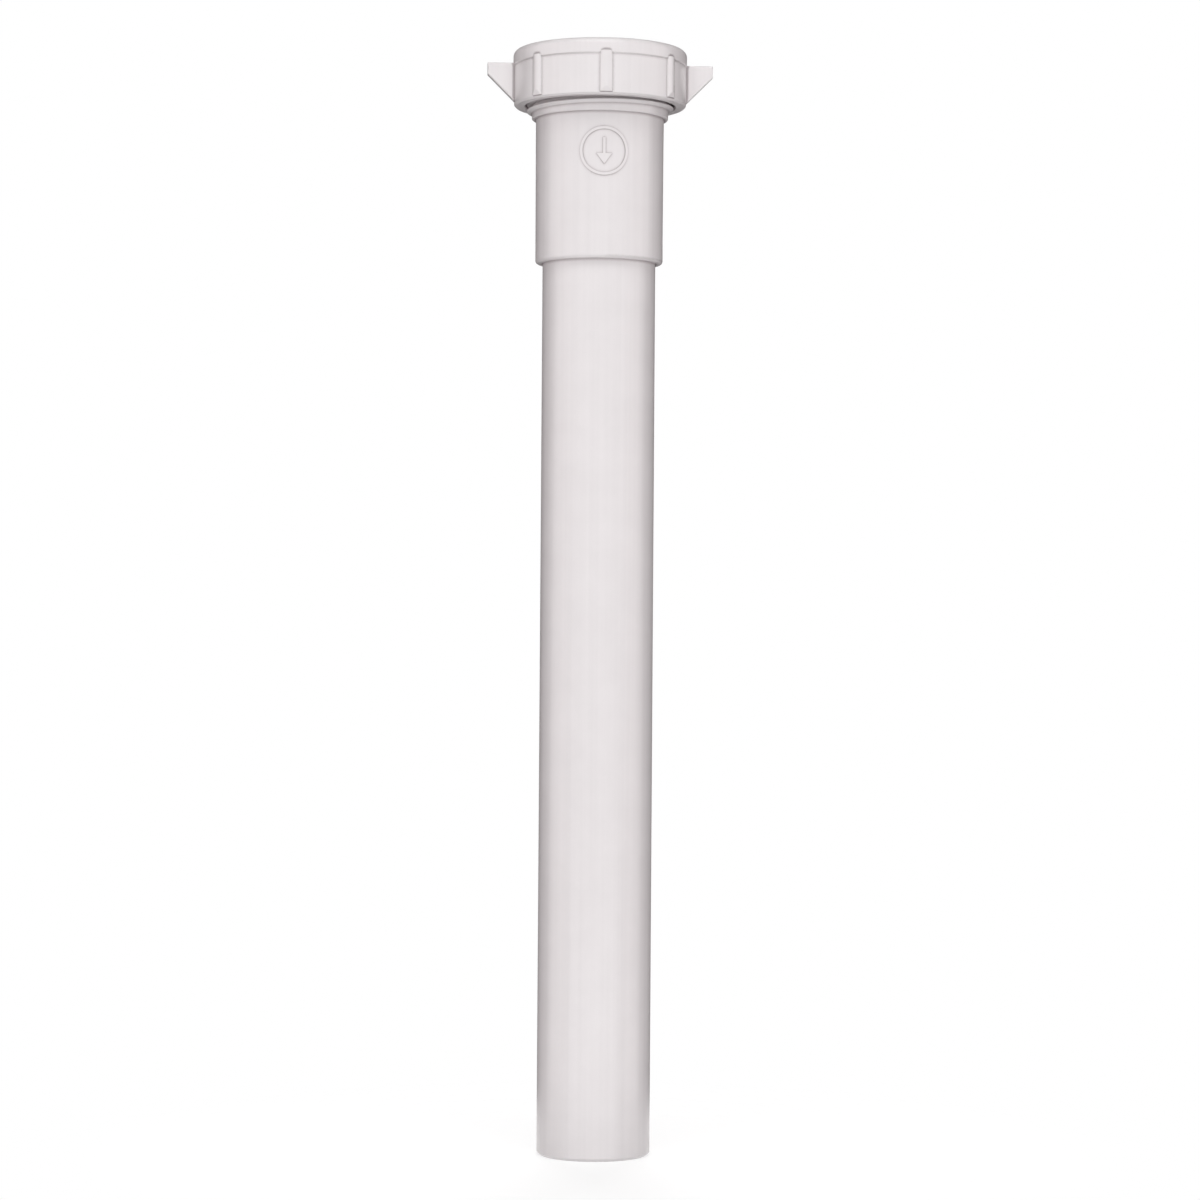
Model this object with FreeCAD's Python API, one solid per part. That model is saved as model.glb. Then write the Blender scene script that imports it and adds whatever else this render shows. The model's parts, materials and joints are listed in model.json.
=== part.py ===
import FreeCAD, Part
import math
import os

# Slip-joint extension tube for a basin waste: a plain pipe with a socket hub on top,
# closed by a winged slip nut over a bevelled washer. Millimetres, +Z up along the pipe.
# The origin is on the axis, at the pipe's square-cut lower end.

# Driving dimensions of the tube
PIPE_DIAMETER = 31.75        # 1-1/4 in, also the size of the tail pipe that slips into the socket
PIPE_WALL = 1.7
TUBE_LENGTH = 304.8          # 12 in
CUT_EDGE = 0.8               # chamfer of the cut end's outer edge
HUB_LENGTH = 54.75
HUB_WALL = 1.8
HUB_DRAFT = 0.12             # the hub's radius shrinks by this much from its collar to its ledge
HUB_LEDGE_ROUND = 0.9
STOP_THICKNESS = 2.0         # of the shoulder that stops the inserted pipe
STOP_EDGE = 0.3
COLLAR_STEP = 1.15           # from the hub's skin out to the thread's root
COLLAR_EDGE = 0.25
THREADED_LENGTH = 14.1       # from the collar's lower edge to the tube's upper end
THREAD_LEAD = 0.6            # chamfer where the thread starts
MOUTH_DEPTH = 3.0            # of the conical seat for the washer
MOUTH_FLARE = 1.6

# Driving dimensions of the nut
THREAD_DEPTH = 1.5           # height of the tube's thread over its root
NUT_HEIGHT = 15.8
NUT_WALL = 3.2               # from the nut's thread root out to its panels
NUT_LIP = 2.8
NUT_TOP_ROUND = 1.8
NUT_BASE_EDGE = 0.5
NUT_BORE_EDGE = 0.4
LIP_EDGE = 0.3               # chamfer round the top of the lip's hole
RIM_HEIGHT = 4.55
RIM_STEP = 0.25              # the rim stands this far out from the panels
RIM_EDGE = 0.35              # bevel under the rim
RIB_SPACING = 50             # degrees between the three ribs at the front, and at the back
RIB_WIDTH = 3.6
RIB_HEIGHT = 0.7
RIB_FOOT = 0.75              # from the nut's lower face up to the ribs
RIB_STEP = 0.25              # a rib starts with a square step this deep
RIB_SLOPE = 1.4              # and slopes out from there to its crest over this much height
RIB_LAP = 0.8                # how far a rib runs up over the rim
WING_SPAN = 63.5             # tip to tip
WING_THICKNESS = 3.2
WING_TIP_HEIGHT = 3.25
WING_FOOT = 1.3              # from the nut's lower face up to where the wing's slope ends
WING_FOOT_REACH = 0.1        # how far out from the panels the slope ends
WING_DROP = 3.8              # from the nut's top down to the wings' upper edges
WING_ROUND = 0.35

# Driving dimensions of the washer
WASHER_FLANGE = 2.5
WASHER_CONE = 1.8
WASHER_EDGE = 0.3            # chamfer where the inserted pipe enters the washer

# Clearances, on the radius
SLIP_CLEARANCE = 0.375       # socket over the inserted pipe
WASHER_CLEARANCE = 0.225     # washer over the inserted pipe
LIP_CLEARANCE = 0.725        # nut's lip over the inserted pipe
SEAT_CLEARANCE = 0.35        # washer's cone in the tube's mouth
THREAD_CLEARANCE = 0.3       # nut's thread root over the tube's thread
WASHER_EDGE_CLEARANCE = 0.5  # washer's flange inside the nut

# Radii and heights that follow from them
pipe_radius = PIPE_DIAMETER / 2
pipe_bore_radius = pipe_radius - PIPE_WALL
socket_radius = pipe_radius + SLIP_CLEARANCE
hub_radius = socket_radius + HUB_WALL
thread_root_radius = hub_radius + COLLAR_STEP
mouth_radius = socket_radius + MOUTH_FLARE
hub_base = TUBE_LENGTH - HUB_LENGTH
stop_height = hub_base + STOP_THICKNESS
collar_base = TUBE_LENGTH - THREADED_LENGTH
mouth_base = TUBE_LENGTH - MOUTH_DEPTH

lip_base = TUBE_LENGTH + WASHER_FLANGE
nut_top = lip_base + NUT_LIP
nut_base = nut_top - NUT_HEIGHT
nut_bore_radius = thread_root_radius + THREAD_DEPTH + THREAD_CLEARANCE
panel_radius = nut_bore_radius + NUT_WALL
panel_middle_radius = nut_bore_radius + NUT_WALL / 2
rim_radius = panel_radius + RIM_STEP
rim_base = nut_top - RIM_HEIGHT

UP = FreeCAD.Vector(0, 0, 1)
AXIS_POINT = FreeCAD.Vector(0, 0, 0)
ON_FACE = 0.01               # an edge this close to a face lies on it


def sharp(radius, height):
    return radius, height, 0, False


def rounded(radius, height, size):
    return radius, height, size, True


def chamfered(radius, height, size):
    return radius, height, size, False


def outline(corners):
    """An upright face in the XZ plane, from sharp, rounded or chamfered (radius, height) corners."""
    points = [FreeCAD.Vector(radius, 0, height) for radius, height, _, _ in corners]
    ends, edges = [], []
    for number, (_, _, size, is_round) in enumerate(corners):
        corner = points[number]
        if size == 0:
            ends.append((corner, corner))
            continue
        to_last = (points[number - 1] - corner).normalize()
        to_next = (points[(number + 1) % len(points)] - corner).normalize()
        half = to_last.getAngle(to_next) / 2
        reach = size / math.tan(half) if is_round else size
        start, end = corner + to_last * reach, corner + to_next * reach
        if is_round:
            inward = (to_last + to_next).normalize()
            middle = corner + inward * (size / math.sin(half) - size)
            edges.append(Part.Arc(start, middle, end).toShape())
        else:
            edges.append(Part.makeLine(start, end))
        ends.append((start, end))
    for number, (start, _) in enumerate(ends):
        edges.append(Part.makeLine(ends[number - 1][1], start))
    return Part.Face(Part.Wire(Part.__sortEdges__(edges)))


def turned(corners):
    """A solid of revolution about the tube's axis, from (radius, height) corners."""
    return outline(corners).revolve(AXIS_POINT, UP, 360)


def plate(corners, thickness):
    """A flat plate of that thickness, from a side view of (radius, height) corners on +X."""
    face = outline(corners)
    face.translate(FreeCAD.Vector(0, -thickness / 2, 0))
    return face.extrude(FreeCAD.Vector(0, thickness, 0))


def extension_tube():
    return turned([
        sharp(pipe_bore_radius, 0),
        chamfered(pipe_radius, 0, CUT_EDGE),
        sharp(pipe_radius, hub_base),
        rounded(hub_radius - HUB_DRAFT, hub_base, HUB_LEDGE_ROUND),
        sharp(hub_radius, collar_base),
        chamfered(thread_root_radius, collar_base, COLLAR_EDGE),
        chamfered(thread_root_radius, TUBE_LENGTH, THREAD_LEAD),
        sharp(mouth_radius, TUBE_LENGTH),
        sharp(socket_radius, mouth_base),
        sharp(socket_radius, stop_height),
        chamfered(pipe_bore_radius, stop_height, STOP_EDGE),
    ])


def slip_washer():
    """A flat flange under the nut's lip, with a cone below it that seats in the tube's mouth."""
    inner = pipe_radius + WASHER_CLEARANCE
    outer = nut_bore_radius - WASHER_EDGE_CLEARANCE
    cone_top = mouth_radius - SEAT_CLEARANCE
    cone_bottom = cone_top - WASHER_CONE * MOUTH_FLARE / MOUTH_DEPTH
    return turned([
        sharp(inner, TUBE_LENGTH - WASHER_CONE),
        sharp(cone_bottom, TUBE_LENGTH - WASHER_CONE),
        sharp(cone_top, TUBE_LENGTH),
        sharp(outer, TUBE_LENGTH),
        sharp(outer, lip_base),
        chamfered(inner, lip_base, WASHER_EDGE),
    ])


def nut_body():
    lip_radius = pipe_radius + LIP_CLEARANCE
    return turned([
        chamfered(nut_bore_radius, nut_base, NUT_BORE_EDGE),
        chamfered(panel_radius, nut_base, NUT_BASE_EDGE),
        sharp(panel_radius, rim_base),
        sharp(rim_radius, rim_base + RIM_EDGE),
        rounded(rim_radius, nut_top, NUT_TOP_ROUND),
        chamfered(lip_radius, nut_top, LIP_EDGE),
        sharp(lip_radius, lip_base),
        sharp(nut_bore_radius, lip_base),
    ])


def rib():
    """One upright rib on +X: a slice of a round bar, with a sloping foot, that laps the rim at its top."""
    crest = panel_radius + RIB_HEIGHT
    foot = nut_base + RIB_FOOT
    top = rim_base + RIB_LAP
    half_width = RIB_WIDTH / 2
    rise = crest - math.sqrt(panel_radius ** 2 - half_width ** 2)
    bar_radius = (half_width ** 2 + rise ** 2) / (2 * rise)
    bar = Part.makeCylinder(bar_radius, top - foot, FreeCAD.Vector(crest - bar_radius, 0, foot))
    side = plate([
        sharp(panel_middle_radius, foot),
        sharp(panel_radius + RIB_STEP, foot),
        sharp(crest, foot + RIB_SLOPE),
        sharp(crest, top),
        sharp(panel_middle_radius, top),
    ], 2 * bar_radius)
    return bar.common(side)


def wing():
    """One thumb wing on +X: a square tip over a slope back to the nut's foot, with rounded edges."""
    tip = WING_SPAN / 2
    top = nut_top - WING_DROP
    foot = nut_base + WING_FOOT
    blank = plate([
        sharp(panel_middle_radius, foot),
        sharp(panel_radius + WING_FOOT_REACH, foot),
        sharp(tip, top - WING_TIP_HEIGHT),
        sharp(tip, top),
        sharp(panel_middle_radius, top),
    ], WING_THICKNESS)
    on_sides = [edge for edge in blank.Edges
                if abs(abs(edge.CenterOfMass.y) - WING_THICKNESS / 2) < ON_FACE]
    return blank.makeFillet(WING_ROUND, on_sides)


def slip_nut():
    """Three ribs at the front and three at the back, with a wing between them on either side."""
    fins = []
    for middle in (-90, 90):
        for place in (-1, 0, 1):
            fins.append(rib())
            fins[-1].rotate(AXIS_POINT, UP, middle + place * RIB_SPACING)
    for turn in (0, 180):
        fins.append(wing())
        fins[-1].rotate(AXIS_POINT, UP, turn)
    return nut_body().fuse(fins).removeSplitter()


os.makedirs("parts", exist_ok=True)
for name, shape in (("extension_tube", extension_tube()),
                    ("slip_washer", slip_washer()),
                    ("slip_nut", slip_nut())):
    solid = shape.Solids[0]
    print(name, len(shape.Solids), solid.isValid(), round(solid.Volume), solid.BoundBox)
    solid.exportStep("parts/" + name + ".step")
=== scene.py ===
import json
import math

import bmesh
import bpy
from mathutils import Matrix, Vector


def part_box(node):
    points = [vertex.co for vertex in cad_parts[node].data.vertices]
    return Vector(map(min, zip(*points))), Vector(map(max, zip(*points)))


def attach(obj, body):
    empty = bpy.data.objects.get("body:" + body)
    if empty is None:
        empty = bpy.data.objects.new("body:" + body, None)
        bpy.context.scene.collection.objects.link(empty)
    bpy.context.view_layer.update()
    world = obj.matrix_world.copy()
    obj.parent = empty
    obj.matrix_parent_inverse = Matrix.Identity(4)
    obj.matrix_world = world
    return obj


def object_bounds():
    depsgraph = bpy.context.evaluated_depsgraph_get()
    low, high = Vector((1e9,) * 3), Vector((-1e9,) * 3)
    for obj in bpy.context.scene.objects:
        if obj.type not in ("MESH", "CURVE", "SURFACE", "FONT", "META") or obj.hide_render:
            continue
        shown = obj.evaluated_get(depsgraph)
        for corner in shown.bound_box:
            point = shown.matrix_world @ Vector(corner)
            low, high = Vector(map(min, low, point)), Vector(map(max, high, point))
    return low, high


# A plastic extension tube of a basin waste, stood on its cut end, with a winged slip nut on its socket.
# Metres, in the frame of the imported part: +Z up along the pipe, the nut's front rib towards -Y.

MM = 0.001

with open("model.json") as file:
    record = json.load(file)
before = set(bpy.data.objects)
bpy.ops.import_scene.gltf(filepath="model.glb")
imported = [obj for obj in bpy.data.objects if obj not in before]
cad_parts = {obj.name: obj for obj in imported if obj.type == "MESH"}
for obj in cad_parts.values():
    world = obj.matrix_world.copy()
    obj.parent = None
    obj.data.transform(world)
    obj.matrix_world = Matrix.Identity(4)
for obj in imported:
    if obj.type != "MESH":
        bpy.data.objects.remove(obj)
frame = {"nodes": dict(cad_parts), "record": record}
cad_low, cad_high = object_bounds()
tube_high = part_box("extension_tube")[1]

# Thread sizes. Its root on the tube is the tube's widest cylinder, and one turn lifts the nut by the pitch.
# The gap lies between a crest and the root that it faces, and the sink is how deep a ridge's foot lies in
# its wall.
THREAD_DEPTH = 1.5 * MM
THREAD_GAP = 0.3 * MM
THREAD_ROOT_WIDTH = 1.44 * MM
THREAD_CREST_WIDTH = 0.5 * MM
THREAD_CREST_ROUND = 0.12 * MM
THREAD_FLANK_SLOPE = 0.3
THREAD_SINK = 0.25 * MM
THREAD_PITCH = frame["record"]["behaviour"]["couplings"][0]["ratio"] * math.tau
thread_root = tube_high.x
thread_crest = thread_root + THREAD_DEPTH

# Where the tube's thread runs out under the nut, as the photo shows on its left. The nut's thread is lifted
# by half a pitch, so that it lies between the tube's turns, and it starts part of a turn later. Both fade
# out at their ends, over an angle, until the crest lies a little under the wall.
RUN_OUT_ANGLE = math.radians(120)
RUN_OUT_HEIGHT = 292.5 * MM
TUBE_THREAD_TURNS = 5.0
NUT_THREAD_LIFT = 0.5
NUT_THREAD_DELAY = 0.75
NUT_THREAD_TURNS = 3.9
FADE_ANGLE = math.radians(70)
FADED_SINK = 0.1 * MM

# The hub's skin, and the moulded flow mark on its front
HUB_TOP_RADIUS = 18.05 * MM
HUB_TOP_HEIGHT = 290.7 * MM
HUB_BASE_RADIUS = 17.93 * MM
HUB_BASE_HEIGHT = 250.05 * MM
MARK_HEIGHT = 279.6 * MM
MARK_RADIUS = 6.4 * MM
MARK_LINE = 0.75 * MM
MARK_RISE = 0.22 * MM
MARK_SINK = 0.2 * MM
ARROW_LENGTH = 7.4 * MM
ARROW_HEAD = 3.0 * MM
ARROW_HEAD_WIDTH = 4.4 * MM

# How finely the new pieces are meshed
STEPS_PER_TURN = 96
WELD_DISTANCE = 0.001 * MM
SHARP_ANGLE = math.radians(35)

# The white plastic of the tube and the nut. Its clouds and draw lines are added up, and the pigment goes
# from dark to pale between two values of the sum.
PIGMENT_DARK = "#E5E1E2"
PIGMENT_PALE = "#EBE7E8"
PIGMENT_DARK_END = 0.6
PIGMENT_PALE_END = 1.4
CLOUD_SIZE = 9.0 * MM
CLOUD_DETAIL = 3.0
CLOUD_ROUGHNESS = 0.55
DRAW_LINE_WIDTH = 1.5 * MM
DRAW_LINE_LENGTH = 150 * MM
# The real grain is about 0.1 mm across; it is drawn coarser so that it still shows in the picture
GRAIN_SIZE = 0.5 * MM
GRAIN_RISE = 0.03 * MM
GRAIN_STRENGTH = 0.35
FINE_DETAIL = 2.0
EDGE_ROUND = 0.1 * MM
EDGE_SAMPLES = 6
SMOOTHEST = 0.22
ROUGHEST = 0.28
POLYPROPYLENE_IOR = 1.49

# Painted shade in the creases goes by the open share of the surroundings: full at one share, gone at
# another
PAINTED_SHADE_REACH = 0.9 * MM
PAINTED_SHADE_SAMPLES = 8
PAINTED_SHADE_END = 0.98
TUBE_PAINTED_CREASE_SHADE = "#BEB6B8"
TUBE_PAINTED_SHADE_FULL = 0.58
NUT_PAINTED_CREASE_SHADE = "#ACA4A6"
NUT_PAINTED_SHADE_FULL = 0.87

# The waxy plastic of the washer, in which red, green and blue light spread alike
WAX_DARK = "#D8D4D1"
WAX_PALE = "#E1DDDA"
WAX_CLOUD_SIZE = 4.0 * MM
WAX_ROUGHNESS = 0.55
WAX_DEPTH = 1.0 * MM
WAX_SPREAD = (1.0, 1.0, 1.0)
WAX_SHARE = 0.15
POLYETHYLENE_IOR = 1.51

# Camera, found from the photo's outline
CAMERA_DISTANCE = 938 * MM
CAMERA_HEIGHT = 144.5 * MM
CAMERA_AZIMUTH = math.radians(-4.0)
CAMERA_LENS = 100.0
SENSOR_WIDTH = 36.0
AIM_HEIGHT = 155.5 * MM
AIM_RIGHT = 0.95 * MM
CAMERA_ROLL = math.radians(0.39)

# The studio: a round of paper under the object, which fades out at its edge, and a dark card behind it
WHITE = "#FFFFFF"
ROSE_WHITE = "#FFF6F6"
PAPER_GREY = "#A0A0A0"
CARD_GREY = "#2A2626"
WORLD_LIGHT = 0.05
FLOOR_FADE_START = 0.06
FLOOR_FADE_END = 0.16
FLOOR_LIFT = 0.70
FLOOR_SEGMENTS = 64
CARD_RADIUS = 0.9
CARD_HALF_ANGLE = math.radians(75)
CARD_BOTTOM = -1.0
CARD_TOP = 1.4
CARD_STEPS = 24

# Soft boxes: name, degrees round from the camera, degrees up, width, height, watts and colour. Five of one
# size make a wall round the front.
LIGHT_DISTANCE = 1.5
WALL_RISE = 8
WALL_WIDTH = 1.06
WALL_HEIGHT = 1.8
SOFT_BOXES = (
    ("left_side_box", -78, WALL_RISE, WALL_WIDTH, WALL_HEIGHT, 6.5, ROSE_WHITE),
    ("left_front_box", -39, WALL_RISE, WALL_WIDTH, WALL_HEIGHT, 4.2, WHITE),
    ("front_box", 0, WALL_RISE, WALL_WIDTH, WALL_HEIGHT, 3.9, WHITE),
    ("right_front_box", 39, WALL_RISE, WALL_WIDTH, WALL_HEIGHT, 4.2, WHITE),
    ("right_side_box", 78, WALL_RISE, WALL_WIDTH, WALL_HEIGHT, 6.5, ROSE_WHITE),
    ("table_bounce", 0, -55, 1.6, 0.8, 11.5, WHITE),
    ("high_box", 0, 57, 1.4, 0.7, 10.5, WHITE),
)
# Kept out of the reflections, where it would wash out the dark outline
BACK_BOX = ("back_box", 180, 25, 1.0, 1.0, 20.0, WHITE)

# The sockets of a Mix node that mixes colours
MIX_SHARE = 0
MIX_FIRST = 6
MIX_SECOND = 7
MIX_RESULT = 2


def linear(hex_colour):
    """An sRGB hex colour as linear red, green, blue and alpha."""
    channels = [int(hex_colour[start:start + 2], 16) / 255 for start in (1, 3, 5)]
    return [c / 12.92 if c <= 0.04045 else ((c + 0.055) / 1.055) ** 2.4 for c in channels] + [1.0]


def add_node(tree, kind, values=None, links=None, **settings):
    """One node in the tree, with its settings, its sockets' values and what is linked to them."""
    node = tree.nodes.new(kind)
    for name, value in settings.items():
        setattr(node, name, value)
    for socket, value in (values or {}).items():
        node.inputs[socket].default_value = value
    for socket, source in (links or {}).items():
        tree.links.new(source, node.inputs[socket])
    return node


def new_material(name):
    """An empty node material."""
    material = bpy.data.materials.new(name)
    material.use_nodes = True
    material.node_tree.nodes.clear()
    return material, material.node_tree


def pattern_scale(size):
    """The scale of a noise texture whose features are that many metres across."""
    return 1 / size


def moulded_polypropylene(name, painted_crease_shade, painted_shade_full):
    """White polypropylene from a satin steel mould: an even, milky white with a soft sheen. Faint clouds of
    pigment and upright draw lines keep it from looking flat, a fine grain breaks up its sheen, and painted
    shade darkens its creases."""
    material, tree = new_material(name)
    place = add_node(tree, "ShaderNodeTexCoord").outputs["Object"]
    clouds = add_node(tree, "ShaderNodeTexNoise",
                      {"Scale": pattern_scale(CLOUD_SIZE), "Detail": CLOUD_DETAIL,
                       "Roughness": CLOUD_ROUGHNESS},
                      {"Vector": place})
    drawn_out = add_node(tree, "ShaderNodeVectorMath", {1: (1, 1, DRAW_LINE_WIDTH / DRAW_LINE_LENGTH)},
                         {0: place}, operation="MULTIPLY")
    draw_lines = add_node(tree, "ShaderNodeTexNoise",
                          {"Scale": pattern_scale(DRAW_LINE_WIDTH), "Detail": FINE_DETAIL},
                          {"Vector": drawn_out.outputs["Vector"]})
    pigment = add_node(tree, "ShaderNodeMath", operation="ADD",
                       links={0: clouds.outputs["Fac"], 1: draw_lines.outputs["Fac"]})
    spread = add_node(tree, "ShaderNodeMapRange",
                      {"From Min": PIGMENT_DARK_END, "From Max": PIGMENT_PALE_END},
                      {"Value": pigment.outputs[0]})
    tone = add_node(tree, "ShaderNodeMix",
                    {MIX_FIRST: linear(PIGMENT_DARK), MIX_SECOND: linear(PIGMENT_PALE)},
                    {MIX_SHARE: spread.outputs["Result"]}, data_type="RGBA")
    # Painted shade: the colour turns grey where ambient occlusion finds a crease
    openness = add_node(tree, "ShaderNodeAmbientOcclusion", {"Distance": PAINTED_SHADE_REACH},
                        samples=PAINTED_SHADE_SAMPLES)
    unshaded_share = add_node(tree, "ShaderNodeMapRange", {"From Min": painted_shade_full, "From Max": PAINTED_SHADE_END},
                     {"Value": openness.outputs["AO"]})
    crease_shaded = add_node(tree, "ShaderNodeMix", {MIX_FIRST: linear(painted_crease_shade)},
                       {MIX_SHARE: unshaded_share.outputs["Result"], MIX_SECOND: tone.outputs[MIX_RESULT]},
                       data_type="RGBA")
    grain = add_node(tree, "ShaderNodeTexNoise",
                     {"Scale": pattern_scale(GRAIN_SIZE), "Detail": FINE_DETAIL},
                     {"Vector": place})
    sheen = add_node(tree, "ShaderNodeMapRange", {"To Min": SMOOTHEST, "To Max": ROUGHEST},
                     {"Value": clouds.outputs["Fac"]})
    soft_edges = add_node(tree, "ShaderNodeBevel", {"Radius": EDGE_ROUND}, samples=EDGE_SAMPLES)
    bump = add_node(tree, "ShaderNodeBump", {"Strength": GRAIN_STRENGTH, "Distance": GRAIN_RISE},
                    {"Height": grain.outputs["Fac"], "Normal": soft_edges.outputs["Normal"]})
    plastic = add_node(tree, "ShaderNodeBsdfPrincipled", {"IOR": POLYPROPYLENE_IOR},
                       {"Base Color": crease_shaded.outputs[MIX_RESULT], "Roughness": sheen.outputs["Result"],
                        "Normal": bump.outputs["Normal"]})
    add_node(tree, "ShaderNodeOutputMaterial", links={"Surface": plastic.outputs["BSDF"]})
    return material


def moulded_polyethylene(name):
    """Natural polyethylene, moulded: a waxy, slightly milky white that is duller than the other pieces."""
    material, tree = new_material(name)
    place = add_node(tree, "ShaderNodeTexCoord").outputs["Object"]
    clouds = add_node(tree, "ShaderNodeTexNoise",
                      {"Scale": pattern_scale(WAX_CLOUD_SIZE), "Detail": CLOUD_DETAIL},
                      {"Vector": place})
    tone = add_node(tree, "ShaderNodeMix", {MIX_FIRST: linear(WAX_DARK), MIX_SECOND: linear(WAX_PALE)},
                    {MIX_SHARE: clouds.outputs["Fac"]}, data_type="RGBA")
    wax = add_node(tree, "ShaderNodeBsdfPrincipled",
                   {"IOR": POLYETHYLENE_IOR, "Roughness": WAX_ROUGHNESS, "Subsurface Weight": WAX_SHARE,
                    "Subsurface Radius": WAX_SPREAD, "Subsurface Scale": WAX_DEPTH},
                   {"Base Color": tone.outputs[MIX_RESULT]})
    add_node(tree, "ShaderNodeOutputMaterial", links={"Surface": wax.outputs["BSDF"]})
    return material


def new_object(name, mesh_data, material):
    """An object of a bmesh, with its material, in the scene."""
    mesh = bpy.data.meshes.new(name)
    mesh_data.to_mesh(mesh)
    mesh_data.free()
    mesh.materials.append(material)
    piece = bpy.data.objects.new(name, mesh)
    bpy.context.scene.collection.objects.link(piece)
    return piece


def finish_piece(name, mesh_data, material, body):
    """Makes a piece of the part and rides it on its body."""
    bmesh.ops.remove_doubles(mesh_data, verts=mesh_data.verts, dist=WELD_DISTANCE)
    bmesh.ops.recalc_face_normals(mesh_data, faces=mesh_data.faces)
    for face in mesh_data.faces:
        face.smooth = True
    piece = new_object(name, mesh_data, material)
    piece.data.set_sharp_from_angle(angle=SHARP_ANGLE)
    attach(piece, body)


def smooth_step(share):
    """A soft start and end between 0 and 1."""
    share = min(max(share, 0.0), 1.0)
    return share * share * (3 - 2 * share)


def helical_thread(root, crest, start_angle, start_height, turns):
    """A right-hand thread ridge from root to crest radius, out from its wall or in from it. It is sunk a
    little in the wall, and fades into it at both ends."""
    outward = 1 if crest > root else -1
    flank_end = THREAD_CREST_WIDTH / 2 + THREAD_FLANK_SLOPE * THREAD_CREST_ROUND
    half_profile = [
        (root - outward * THREAD_SINK, THREAD_ROOT_WIDTH / 2),
        (root, THREAD_ROOT_WIDTH / 2),
        (crest - outward * THREAD_CREST_ROUND, flank_end),
        (crest, THREAD_CREST_WIDTH / 2 - THREAD_CREST_ROUND),
    ]
    profile = half_profile + [(radius, -rise) for radius, rise in reversed(half_profile)]
    mesh_data = bmesh.new()
    turn_to_start = Matrix.Rotation(start_angle, 3, "Z")
    corners = [mesh_data.verts.new(turn_to_start @ Vector((radius, 0, start_height + rise)))
               for radius, rise in profile]
    edges = [mesh_data.edges.new((corners[number - 1], corners[number])) for number in range(len(corners))]
    steps = round(turns * STEPS_PER_TURN)
    total = turns * math.tau
    bmesh.ops.spin(mesh_data, geom=edges, cent=(0, 0, 0), axis=(0, 0, 1), angle=total, steps=steps,
                   dvec=(0, 0, turns * THREAD_PITCH / steps))
    bmesh.ops.remove_doubles(mesh_data, verts=mesh_data.verts, dist=WELD_DISTANCE)
    bmesh.ops.holes_fill(mesh_data, edges=mesh_data.edges, sides=len(profile))
    for vertex in mesh_data.verts:
        radius = vertex.co.xy.length
        turned = (math.atan2(vertex.co.y, vertex.co.x) - start_angle) % math.tau
        rise = vertex.co.z - start_height - turned / math.tau * THREAD_PITCH
        along = turned + round(rise / THREAD_PITCH) * math.tau
        height = smooth_step(along / FADE_ANGLE) * smooth_step((total - along) / FADE_ANGLE)
        stands = (radius - root) * outward
        is_sunk = stands < -THREAD_SINK / 2
        if not is_sunk:
            faded = root + outward * (height * (stands + FADED_SINK) - FADED_SINK)
            vertex.co.xy *= faded / radius
    return mesh_data


def hub_radius(height):
    """The hub's skin at a height, with its draft."""
    share = (height - HUB_BASE_HEIGHT) / (HUB_TOP_HEIGHT - HUB_BASE_HEIGHT)
    return HUB_BASE_RADIUS + share * (HUB_TOP_RADIUS - HUB_BASE_RADIUS)


def flow_mark():
    """A plain raised ring with a downward arrow in it, wrapped round the hub's front."""
    mesh_data = bmesh.new()
    inner_radius = MARK_RADIUS - MARK_LINE / 2
    bmesh.ops.create_circle(mesh_data, segments=STEPS_PER_TURN, radius=inner_radius)
    widened = bmesh.ops.extrude_edge_only(mesh_data, edges=list(mesh_data.edges))
    outer = [item for item in widened["geom"] if isinstance(item, bmesh.types.BMVert)]
    growth = (inner_radius + MARK_LINE) / inner_radius
    bmesh.ops.scale(mesh_data, verts=outer, vec=(growth, growth, 1))
    shaft = MARK_LINE / 2
    tip = -ARROW_LENGTH / 2
    neck = tip + ARROW_HEAD
    tail = ARROW_LENGTH / 2
    right_side = [(shaft, tail), (shaft, neck), (ARROW_HEAD_WIDTH / 2, neck), (0, tip)]
    left_side = [(-across, along) for across, along in reversed(right_side[:-1])]
    arrow = [mesh_data.verts.new((across, along, 0)) for across, along in right_side + left_side]
    mesh_data.faces.new(arrow)
    raised = bmesh.ops.extrude_face_region(mesh_data, geom=list(mesh_data.faces))
    top = [item for item in raised["geom"] if isinstance(item, bmesh.types.BMVert)]
    bmesh.ops.translate(mesh_data, verts=top, vec=(0, 0, MARK_RISE + MARK_SINK))
    for vertex in mesh_data.verts:
        across, along, rise = vertex.co
        height = MARK_HEIGHT + along
        radius = hub_radius(height) + rise - MARK_SINK
        turn = across / HUB_TOP_RADIUS
        vertex.co = (radius * math.sin(turn), -radius * math.cos(turn), height)
    return mesh_data


def seen_rays(tree):
    """1 for the rays that show the background, straight, in a reflection or through glass, and 0 for the
    rays that light the object."""
    path = add_node(tree, "ShaderNodeLightPath")
    unbroken = add_node(tree, "ShaderNodeMath", operation="MAXIMUM",
                        links={0: path.outputs["Is Camera Ray"], 1: path.outputs["Is Glossy Ray"]})
    seen = add_node(tree, "ShaderNodeMath", operation="MAXIMUM",
                    links={0: unbroken.outputs[0], 1: path.outputs["Is Transmission Ray"]})
    return seen.outputs[0]


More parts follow.
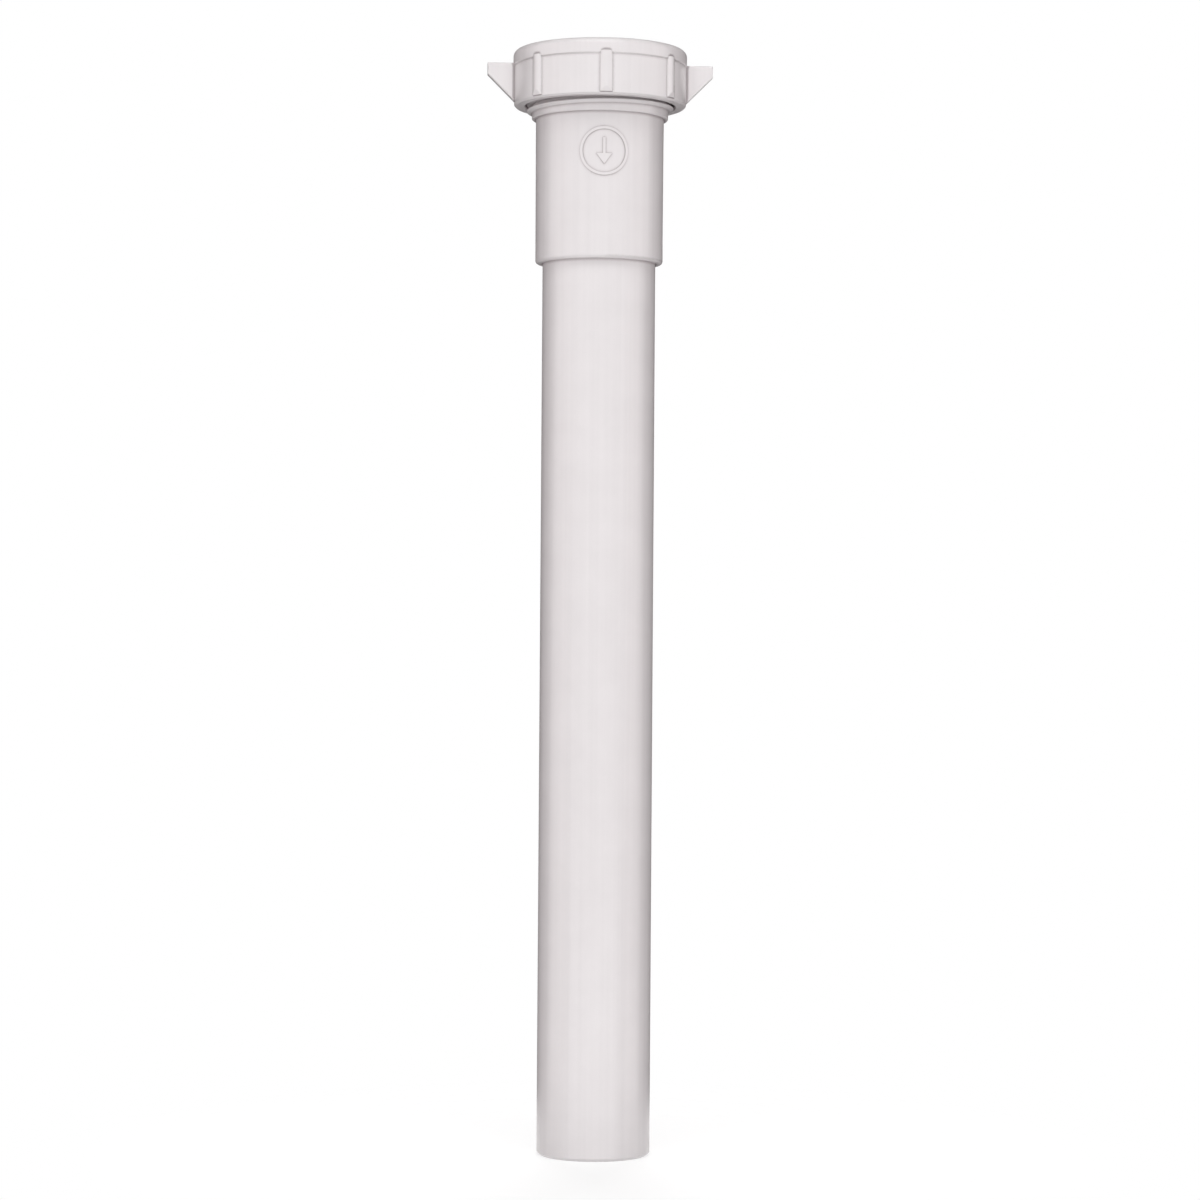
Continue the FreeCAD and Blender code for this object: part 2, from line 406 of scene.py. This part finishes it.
def studio_world():
    """White to the eye and in reflections, with only a weak even light of its own."""
    world = bpy.data.worlds.new("studio")
    bpy.context.scene.world = world
    world.use_nodes = True
    tree = world.node_tree
    tree.nodes.clear()
    dim = add_node(tree, "ShaderNodeBackground", {"Color": linear(ROSE_WHITE), "Strength": WORLD_LIGHT})
    white = add_node(tree, "ShaderNodeBackground", {"Color": linear(WHITE), "Strength": 1.0})
    mixed = add_node(tree, "ShaderNodeMixShader",
                     links={0: seen_rays(tree), 1: dim.outputs[0], 2: white.outputs[0]})
    add_node(tree, "ShaderNodeOutputWorld", links={"Surface": mixed.outputs[0]})


def stage_piece(name, mesh_data, material):
    """Makes a piece of the studio as an object of its own in the scene."""
    piece = new_object(name, mesh_data, material)
    return piece


def paper_floor():
    """Pale seamless paper that fades into the background and darkens in the object's shadow. The table's
    bounced light passes up through it."""
    mesh_data = bmesh.new()
    bmesh.ops.create_circle(mesh_data, cap_ends=True, segments=FLOOR_SEGMENTS, radius=FLOOR_FADE_END)
    material, tree = new_material("matt_pale_paper")
    paper = add_node(tree, "ShaderNodeBsdfDiffuse", {"Color": linear(PAPER_GREY)})
    lift = add_node(tree, "ShaderNodeEmission", {"Color": linear(WHITE), "Strength": FLOOR_LIFT})
    lifted = add_node(tree, "ShaderNodeAddShader", links={0: paper.outputs[0], 1: lift.outputs[0]})
    shown = add_node(tree, "ShaderNodeMixShader",
                     links={0: seen_rays(tree), 1: paper.outputs[0], 2: lifted.outputs[0]})
    place = add_node(tree, "ShaderNodeTexCoord").outputs["Object"]
    distance = add_node(tree, "ShaderNodeVectorMath", links={0: place}, operation="LENGTH")
    edge = add_node(tree, "ShaderNodeMapRange",
                    {"From Min": FLOOR_FADE_START, "From Max": FLOOR_FADE_END,
                     "To Min": 1.0, "To Max": 0.0},
                    {"Value": distance.outputs["Value"]}, interpolation_type="SMOOTHSTEP")
    clear = add_node(tree, "ShaderNodeBsdfTransparent")
    faded = add_node(tree, "ShaderNodeMixShader",
                     links={0: edge.outputs["Result"], 1: clear.outputs[0], 2: shown.outputs[0]})
    add_node(tree, "ShaderNodeOutputMaterial", links={"Surface": faded.outputs[0]})
    floor = stage_piece("paper_floor", mesh_data, material)
    floor.visible_shadow = False


def dark_card():
    """A curved dark card behind the object, met only by its glancing reflections: it draws the thin dark
    outline that the white object has against the white background."""
    mesh_data = bmesh.new()
    first = Matrix.Rotation(CAMERA_AZIMUTH - CARD_HALF_ANGLE, 3, "Z") @ Vector((0, CARD_RADIUS, 0))
    ends = [mesh_data.verts.new(first + Vector((0, 0, height))) for height in (CARD_BOTTOM, CARD_TOP)]
    edge = mesh_data.edges.new(ends)
    bmesh.ops.spin(mesh_data, geom=[edge], cent=(0, 0, 0), axis=(0, 0, 1), angle=2 * CARD_HALF_ANGLE,
                   steps=CARD_STEPS)
    material, tree = new_material("matt_dark_card")
    card = add_node(tree, "ShaderNodeBsdfDiffuse", {"Color": linear(CARD_GREY)})
    add_node(tree, "ShaderNodeOutputMaterial", links={"Surface": card.outputs[0]})
    piece = stage_piece("dark_card", mesh_data, material)
    piece.visible_camera = False
    piece.visible_diffuse = False
    piece.visible_shadow = False
    piece.visible_transmission = False


def soft_box(name, around, up, width, height, watts, colour):
    """A rectangular soft light that faces the middle of the object."""
    light = bpy.data.lights.new(name, "AREA")
    light.shape = "RECTANGLE"
    light.size = width
    light.size_y = height
    light.energy = watts
    light.color = linear(colour)[:3]
    lamp = bpy.data.objects.new(name, light)
    turn = CAMERA_AZIMUTH + math.radians(around)
    rise = math.radians(up)
    away = Vector((math.sin(turn) * math.cos(rise), -math.cos(turn) * math.cos(rise), math.sin(rise)))
    lamp.location = (cad_low + cad_high) / 2 + away * LIGHT_DISTANCE
    lamp.rotation_euler = away.to_track_quat("Z", "Y").to_euler()
    bpy.context.scene.collection.objects.link(lamp)
    return lamp


def photo_camera():
    """The photo's viewpoint: a little below the tube's middle, a little to the left."""
    data = bpy.data.cameras.new("photo_camera")
    data.lens = CAMERA_LENS
    data.sensor_width = SENSOR_WIDTH
    camera = bpy.data.objects.new("photo_camera", data)
    back = Vector((math.sin(CAMERA_AZIMUTH), -math.cos(CAMERA_AZIMUTH), 0))
    right = Vector((math.cos(CAMERA_AZIMUTH), math.sin(CAMERA_AZIMUTH), 0))
    eye = back * CAMERA_DISTANCE + Vector((0, 0, CAMERA_HEIGHT))
    aim = right * AIM_RIGHT + Vector((0, 0, AIM_HEIGHT))
    facing = (aim - eye).to_track_quat("-Z", "Y").to_matrix() @ Matrix.Rotation(CAMERA_ROLL, 3, "Z")
    camera.matrix_world = Matrix.Translation(eye) @ facing.to_4x4()
    bpy.context.scene.collection.objects.link(camera)
    bpy.context.scene.camera = camera


white_tube = moulded_polypropylene("satin_moulded_polypropylene_tube", TUBE_PAINTED_CREASE_SHADE, TUBE_PAINTED_SHADE_FULL)
white_nut = moulded_polypropylene("satin_moulded_polypropylene_nut", NUT_PAINTED_CREASE_SHADE, NUT_PAINTED_SHADE_FULL)
waxy_washer = moulded_polyethylene("moulded_natural_polyethylene")
for node, material in (("extension_tube", white_tube),
                       ("slip_nut", white_nut),
                       ("slip_washer", waxy_washer)):
    frame["nodes"][node].data.materials[0] = material

tube_thread = helical_thread(thread_root, thread_crest, RUN_OUT_ANGLE, RUN_OUT_HEIGHT, TUBE_THREAD_TURNS)
finish_piece("tube_thread", tube_thread, white_tube, "tube")
nut_thread = helical_thread(thread_crest + THREAD_GAP, thread_root + THREAD_GAP,
                            RUN_OUT_ANGLE + NUT_THREAD_DELAY * math.tau,
                            RUN_OUT_HEIGHT + (NUT_THREAD_LIFT + NUT_THREAD_DELAY) * THREAD_PITCH,
                            NUT_THREAD_TURNS)
finish_piece("nut_thread", nut_thread, white_nut, "nut")
finish_piece("flow_mark", flow_mark(), white_tube, "tube")

studio_world()
paper_floor()
dark_card()
for box in SOFT_BOXES:
    soft_box(*box)
soft_box(*BACK_BOX).visible_glossy = False
photo_camera()
bpy.context.scene.view_settings.view_transform = "Standard"
